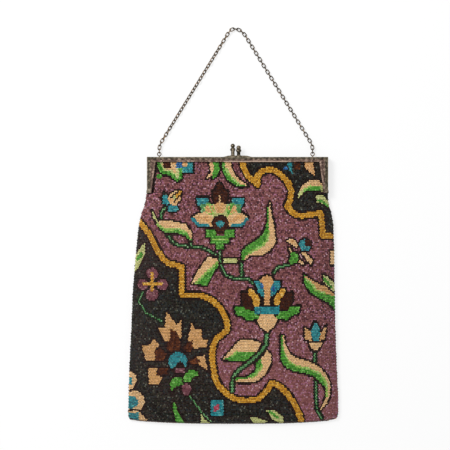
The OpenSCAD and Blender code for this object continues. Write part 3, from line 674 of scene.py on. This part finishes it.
# The large flower on the black ground, and what the bottom and left edge cut
def paint_large_flower():
    petals = (
        ([(166.9, 311.3), (172.7, 319.7), (176.9, 324.4), (181.7, 319.2), (181.2, 337.5), (169.6, 341),
          (164.3, 341.3), (158, 327.6), (164.8, 327), (165.9, 316.5)],
         [(170.6, 328.1), (175.9, 331.3), (179, 337.6), (180.6, 347), (178.5, 351.3), (168.5, 350.7),
          (166.4, 345), (169.6, 340.7)]),
        ([(191.2, 322.8), (195.4, 328.6), (201.7, 328.6), (201.7, 338.6), (207.5, 340.2), (206.4, 346.5),
          (194.3, 348.6), (187.5, 339.7), (190.1, 331.3)],
         [(192.7, 339.7), (192.7, 348.1), (189.6, 351.8), (183.3, 350.2), (184.3, 346), (188.5, 342.3)]),
        ([(196.3, 356), (204.7, 355.2), (205.5, 361.8), (208, 370.6), (197.8, 364)],
         [(188.2, 361), (196.3, 357.4), (201.4, 361.8), (193.4, 364.8)]),
        ([(141.3, 345.7), (149.3, 345), (153, 338.3), (159, 344.2), (155.2, 350.8), (156, 359.6),
          (145.3, 360.4), (144.2, 353)],
         [(153.7, 351.5), (160.4, 348), (167, 354.5), (164, 360.4), (156, 359.6)]),
        ([(148, 367), (157.4, 367.7), (156, 374.3), (161.8, 377.2), (159.6, 383.8), (149.3, 383.8)],
         [(159.6, 367.7), (167.7, 367.7), (167, 373.6), (156.7, 375.8)]))
    for petal, base in petals:
        motif((petal, "apricot"), (base, "rust"))
    motif((disc(178, 361, 9.4), "teal"))
    field(disc(180.5, 365.4, 4.3), "outline")
    motif((block(175.4, 184.4, 368, 373.2), "mauve"),
          ([(190.4, 369), (197.8, 371.4), (198.5, 375), (192.6, 377), (191, 381.6), (183.8, 381.6),
            (183.5, 375.8)], "green"),
          ([(174.3, 376.5), (181.6, 376.5), (182.7, 383.8), (174.3, 387.5), (172, 392.6), (170, 383.8)],
           "green"),
          (disc(186.5, 389.3, 4.6, 1.25), "mauve"))
    motif(([(174.3, 401.4), (172.8, 406.6), (176.5, 426), (186, 426), (178.7, 413.2)], "green"))
    motif((block(211, 223.8, 400, 416), "teal"))
    field([(213, 411.5), (214, 407.5), (217, 403.5), (219.6, 404.6), (218.8, 408.6), (216.6, 411.8)],
          "rose")
    motif(([(201, 414.8), (204.6, 419.2), (210, 424), (210, 428), (200.4, 428)], "leaf_yellow"))
    motif(([(131, 371.4), (136, 375.8), (136.5, 381), (132.5, 390.4), (122, 390), (122, 371)], "ivory"))
    field(block(122, 131.4, 378, 385), "teal")
    motif((disc(133.9, 401.4, 10.6), "ivory"))
    field([(122, 396), (134, 396.5), (138, 400), (138, 405), (134, 408.5), (122, 409)], "teal")
    motif(([(122, 412), (138, 411), (147, 420.5), (147, 430), (122, 430)], "ivory"))
    field(block(122, 138.3, 413, 430), "teal")


# Glossy drawn glass of each colour, as a run of shades from the thick dark beads to the few pale lined ones;
# the palest plum and night beads are a painted sparkle of light on the glass
GLASS = {
    "plum": "#46262e #7b4749 #905a5a #9a6460 #a76c88 #cca4aa",
    "night": "#050603 #11130a #25291c #1b2a30 #3c382a #666c60",
    "gold": "#a87015 #cc9127 #daa132 #eec25c", "amber": "#b87e20 #daa038 #e6b048 #f6d078",
    "outline": "#060302 #0f0704 #170c06 #26160c",
    "green": "#247418 #4a9a32 #5caa40 #8acb68", "lime": "#7fae44 #9dc860 #acd26c #c8e09a",
    "leaf_yellow": "#b8bc70 #c9cd84 #d1d48d #dedea4", "ivory": "#e0b27a #e9bd86 #eec48e #f5d2a2",
    "apricot": "#c89658 #d8a66a #deac72 #eabe8a", "peach": "#d2985c #e0aa6c #e6b47a #eec694",
    "teal": "#15646c #258c96 #31979d #68b6b2", "blue": "#16467c #2466a0 #3074ac #70a4d4",
    "brown": "#200a02 #381505 #421b08 #60321c", "rust": "#2a0f02 #482007 #57290a #7e441c",
    "stem": "#34703a #55945a #68a668 #98c690", "deep_green": "#031006 #081e0e #0d2814 #1a3c20",
    "rose": "#a03448 #bf4c60 #cc5c70 #e090a0", "mauve": "#5a2f36 #7a4852 #8a535c #b08488"}

# Where each shade of four or of six stands in the lot of beads
# In a run of six the last step, from 0.93, gives the painted sparkle of the plum and black grounds
TONES = {4: (0.0, 0.35, 0.8, 1.0), 6: (0.0, 0.3, 0.55, 0.75, 0.93, 1.0)}
# Width of a cloud in the gloss of the glass, in mm
GLASS_CLOUD = 0.6


def glass_material(glass):
    shades = GLASS[glass].split()
    material, tree = new_material("glass_bead_" + glass)
    tone = add_node(tree, "ShaderNodeAttribute", attribute_name="bead_tone")
    colour = add_node(tree, "ShaderNodeValToRGB", {"Fac": tone.outputs["Fac"]}, stops=[
        (TONES[len(shades)][i], shade) for i, shade in enumerate(shades)])
    place = add_node(tree, "ShaderNodeTexCoord").outputs["Object"]
    cloud = add_node(tree, "ShaderNodeTexNoise", {
        "Vector": place, "Scale": 1 / (GLASS_CLOUD * MM), "Detail": 1.0})
    rough = add_node(tree, "ShaderNodeMapRange", {
        "Value": cloud.outputs["Fac"], "To Min": 0.12, "To Max": 0.34})
    shader = add_node(tree, "ShaderNodeBsdfPrincipled", {
        "Base Color": colour.outputs["Color"], "Roughness": rough.outputs["Result"], "IOR": 1.52,
        "Specular IOR Level": 0.1})
    add_node(tree, "ShaderNodeOutputMaterial", {"Surface": shader.outputs["BSDF"]})
    return material


# One mesh of beads: each bead's tone picks its shade, and each has its own cell in the map for baking
CELL_FILL = 0.85


def bead_piece(name, points, tones, faces_of_bead, material):
    mesh = bpy.data.meshes.new(name)
    count = len(points)
    starts = (np.arange(count) * len(bead_points)).tolist()
    faces = [[start + corner for corner in face] for start in starts for face in faces_of_bead]
    mesh.from_pydata((points.reshape(-1, 3) * MM).tolist(), [], faces)
    mesh.polygons.foreach_set("use_smooth", [True] * len(faces))
    tone_of_point = mesh.attributes.new("bead_tone", "FLOAT", "POINT")
    tone_of_point.data.foreach_set("value", np.repeat(tones, len(bead_points)))
    cells = math.ceil(math.sqrt(count))
    cell = np.arange(count)
    cell_middle = np.stack([cell % cells, cell // cells], axis=-1)[:, None] + 0.5
    flat = (cell_middle + CELL_FILL * bead_points[None, :, :2]).reshape(-1, 2)
    corner_points = np.empty(len(mesh.loops), dtype=np.int32)
    mesh.loops.foreach_get("vertex_index", corner_points)
    bake_map = mesh.uv_layers.new(name="OFBake")
    bake_map.data.foreach_set("uv", (flat[corner_points] / cells).astype(np.float32).ravel())
    mesh.materials.append(material)
    piece = bpy.data.objects.new(name, mesh)
    bpy.context.collection.objects.link(piece)
    return piece


glass_of = {glass: glass_material(glass) for glass in GLASS}
# Low on the bag the plum beads are drawn paler: how much, and the chart heights over which it sets in
PLUM_PALING, PLUM_PALING_RUN = 0.3, (310, 400)
# Beads differ by about a twentieth in size, and by as many mm in place, and by twice that at most
SCATTER, SCATTER_MOST, SCATTER_SEED = 0.05, 2, 26
# Share of a bead's height that lies under the bag's outer skin, and the most beads to a mesh
BEAD_SEAT, MESH_BEADS = 0.98, 12000
# Small steps across, as a share, and up, in mm, that give the slope of the cloth under a bead
STEP_ACROSS, STEP_UP = 0.001, 0.01
random = np.random.default_rng(SCATTER_SEED)
beads = {"front": [], "back": []}
for side in ("front", "back"):
    front = side == "front"
    facing = 1 if front else -1
    u, y = stitch_places(front).T
    places = cloth_point(u, y, 0, front)
    chart_x = CHART_X + places[:, 0] * facing / CHART_MM
    chart_y = CHART_Y + (RAIL_Y - places[:, 1]) / CHART_MM
    bead_glass = np.full(len(u), "plum", dtype="<U12")
    paint_grounds()
    paint_stems()
    paint_upper_left()
    paint_upper_palmette()
    paint_middle_leaves()
    paint_quatrefoil()
    paint_lower_palmette()
    paint_lower_leaves()
    paint_right_flowers()
    paint_large_flower()
    across = cloth_point(u + STEP_ACROSS, y, 0, front) - cloth_point(u - STEP_ACROSS, y, 0, front)
    across /= np.linalg.norm(across, axis=1, keepdims=True)
    y_over = np.minimum(y + STEP_UP, MOUTH_Y)
    up = cloth_point(u, y_over, 0, front) - cloth_point(u, y - STEP_UP, 0, front)
    out = np.cross(across, up) * facing
    out /= np.linalg.norm(out, axis=1, keepdims=True)
    up = np.cross(out, across)
    size = 1 + SCATTER * random.standard_normal((len(u), 3)).clip(-SCATTER_MOST, SCATTER_MOST)
    shift = SCATTER * random.standard_normal((len(u), 2)).clip(-SCATTER_MOST, SCATTER_MOST)
    tone = random.random(len(u))
    # Towards the bottom of the bag the plum beads are drawn paler
    plum_paling = PLUM_PALING * eased(chart_y, *PLUM_PALING_RUN) * (bead_glass == "plum")
    tone = (1 - (1 - tone) * (1 - plum_paling)).astype(np.float32)
    root = places - BEAD_TALL * BEAD_SEAT * out + shift[:, :1] * across + shift[:, 1:] * up
    points = (root[:, None]
              + bead_points[None, :, :1] * BEAD_WIDE * size[:, None, :1] * across[:, None]
              + bead_points[None, :, 1:2] * BEAD_HIGH * size[:, None, 1:2] * up[:, None]
              + bead_points[None, :, 2:] * BEAD_TALL * out[:, None])
    faces_of_bead = bead_faces if front else [face[::-1] for face in bead_faces]
    for glass in GLASS:
        chosen = np.flatnonzero(bead_glass == glass)
        groups = np.array_split(chosen, 1 + len(chosen) // MESH_BEADS)
        for number, group in enumerate(groups):
            name = "beads_%s_%s_%d" % (glass, side, number + 1)
            piece = bead_piece(name, points[group], tone[group], faces_of_bead, glass_of[glass])
            if front:
                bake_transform(piece)
            else:
                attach(piece, "bag")
            beads[side].append(piece)

# The lining is a bag of thin plain silk inside the bead-knit, cut to its shape and sewn in with it at the
# mouth, where it is drawn into small gathers. Age has browned it in places.
# Plain woven silk: pale tan with a soft sheen, finely ribbed by its threads and clouded by broad stains
lining_silk, tree = new_material("plain_woven_silk")
place = add_node(tree, "ShaderNodeTexCoord").outputs["Object"]
# Step from thread to thread, drawn coarser than real so that it shows, its depth, and a stain's width, in mm
THREAD, THREAD_DEEP, STAIN = 0.8, 0.08, 22
weft = add_node(tree, "ShaderNodeTexWave", {
    "Vector": place, "Scale": band_scale(THREAD), "Distortion": 1.0}, bands_direction="Y")
stain = add_node(tree, "ShaderNodeTexNoise", {"Vector": place, "Scale": 1 / (STAIN * MM), "Detail": 4.0})
colour = add_node(tree, "ShaderNodeValToRGB", {"Fac": stain.outputs["Fac"]}, stops=[
    (0.3, "#9f8568"), (0.55, "#b79c7c"), (0.8, "#c4ac8c")])
thread_bump = add_node(tree, "ShaderNodeBump", {
    "Height": weft.outputs["Fac"], "Strength": 0.25, "Distance": THREAD_DEEP * MM})
shader = add_node(tree, "ShaderNodeBsdfPrincipled", {
    "Base Color": colour.outputs["Color"], "Roughness": 0.45, "Sheen Weight": 0.3,
    "Normal": thread_bump.outputs["Normal"]})
add_node(tree, "ShaderNodeOutputMaterial", {"Surface": shader.outputs["BSDF"]})
# Points across and up, how far the silk lies inside the bag, and its thickness, in mm
LINING_ACROSS, LINING_UP, LINING_SUNK, LINING_THICK = 181, 80, 1.75, 0.25
# Gathers below the mouth: width, depth, the heights where they begin and end, and the fade at the top, in mm
GATHER_WIDE, GATHER_DEEP, GATHER_TOP, GATHER_LOW, GATHER_FADE = 9.5, 0.8, 120.5, 40.0, 9
# They fade out beside the frame's arms, and no two are alike: sway and step across, and sway and step up
GATHER_ARM, SWAY_ACROSS, STEP_SWAY_ACROSS, SWAY_UP, STEP_SWAY_UP = (5, 14), 1.6, 13, 0.6, 11
for side in ("front", "back"):
    front = side == "front"
    lining = cloth_sheet(
        "lining_" + side, LINING_ACROSS, LINING_UP, LINING_SUNK, front, LINING_THICK, lining_silk)
    spots = np.empty(len(lining.data.vertices) * 3)
    lining.data.vertices.foreach_get("co", spots)
    x, y = spots[0::3] / MM, spots[1::3] / MM
    drawn = eased(GATHER_TOP - y, 0, GATHER_FADE) * eased(y, GATHER_LOW, HINGE_Y)
    drawn *= eased(FRAME_HALF - np.abs(x), *GATHER_ARM)
    sway = SWAY_ACROSS * np.sin(x / STEP_SWAY_ACROSS) + SWAY_UP * np.sin(y / STEP_SWAY_UP)
    ripple = np.sin(2 * math.pi * x / GATHER_WIDE + sway)
    spots[2::3] += (-1 if front else 1) * GATHER_DEEP * MM * drawn * (0.5 + 0.5 * ripple)
    lining.data.vertices.foreach_set("co", spots)
    lining.data.update()
    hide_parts("silk_lining")
    if front:
        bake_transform(lining)
    else:
        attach(lining, "bag")

# The studio is white paper that the purse lies on, a broad soft key light from the upper left and an even
# white sky. The paper shows white to the camera and to the metal, and keeps a part of the purse's shadow.
# The sheet's side and height in metres, and the share of white that it shows by itself
FLOOR_SIDE, FLOOR_Z, FLOOR_GLOW = 60.0, -0.0004, 0.75
bpy.ops.object.select_all(action="DESELECT")
bpy.ops.mesh.primitive_plane_add(size=FLOOR_SIDE, location=(0, 0, FLOOR_Z))
floor = bpy.context.object
floor.name = "floor"
white_paper, tree = new_material("white_paper")
rays = add_node(tree, "ShaderNodeLightPath")
mirrored = add_node(tree, "ShaderNodeMath", {
    0: rays.outputs["Is Glossy Ray"], 1: rays.outputs["Is Transmission Ray"]}, operation="ADD")
seen = add_node(tree, "ShaderNodeMath", {0: rays.outputs["Is Camera Ray"], 1: mirrored.outputs[0]},
                operation="ADD", use_clamp=True)
share = add_node(tree, "ShaderNodeMath", {0: seen.outputs[0], 1: FLOOR_GLOW}, operation="MULTIPLY")
paper = add_node(tree, "ShaderNodeBsdfDiffuse", {"Color": linear("#fafafa")})
glow = add_node(tree, "ShaderNodeEmission", {"Color": (1, 1, 1, 1), "Strength": 1.0})
mixed = add_node(tree, "ShaderNodeMixShader", {
    0: share.outputs[0], 1: paper.outputs["BSDF"], 2: glow.outputs["Emission"]})
add_node(tree, "ShaderNodeOutputMaterial", {"Surface": mixed.outputs["Shader"]})
floor.data.materials.append(white_paper)

SKY_STRENGTH = 0.5
world = bpy.data.worlds.new("white_sky")
world.use_nodes = True
sky = world.node_tree.nodes["Background"]
sky.inputs["Color"].default_value = (1, 1, 1, 1)
sky.inputs["Strength"].default_value = SKY_STRENGTH
bpy.context.scene.world = world

# The key light's power in watts, and its side and place in metres
KEY_POWER, KEY_SIDE, KEY_PLACE = 20, 0.6, (-0.7, 0.75, 1.3)
key = bpy.data.lights.new("key", "AREA")
key.energy = KEY_POWER
key.size = KEY_SIDE
key_light = bpy.data.objects.new("key", key)
key_light.location = KEY_PLACE
key_light.rotation_euler = (-key_light.location).to_track_quat("-Z", "Y").to_euler()
bpy.context.collection.objects.link(key_light)

# The camera looks straight down on the purse: middle, width and distance of its view, height of the bag's
# middle, and the sensor's width, in mm
VIEW_X, VIEW_Y, VIEW_WIDE, VIEW_AWAY, BAG_MID_Z = -11.9, 61.9, 427.5, 1500.0, 8.0
CAMERA_SENSOR = 36.0
camera = bpy.data.cameras.new("camera")
camera.sensor_width = CAMERA_SENSOR
camera.lens = CAMERA_SENSOR * VIEW_AWAY / VIEW_WIDE
camera_object = bpy.data.objects.new("camera", camera)
camera_object.location = (VIEW_X * MM, VIEW_Y * MM, (VIEW_AWAY + BAG_MID_Z) * MM)
bpy.context.collection.objects.link(camera_object)
bpy.context.scene.camera = camera_object
bpy.context.scene.view_settings.view_transform = "Standard"
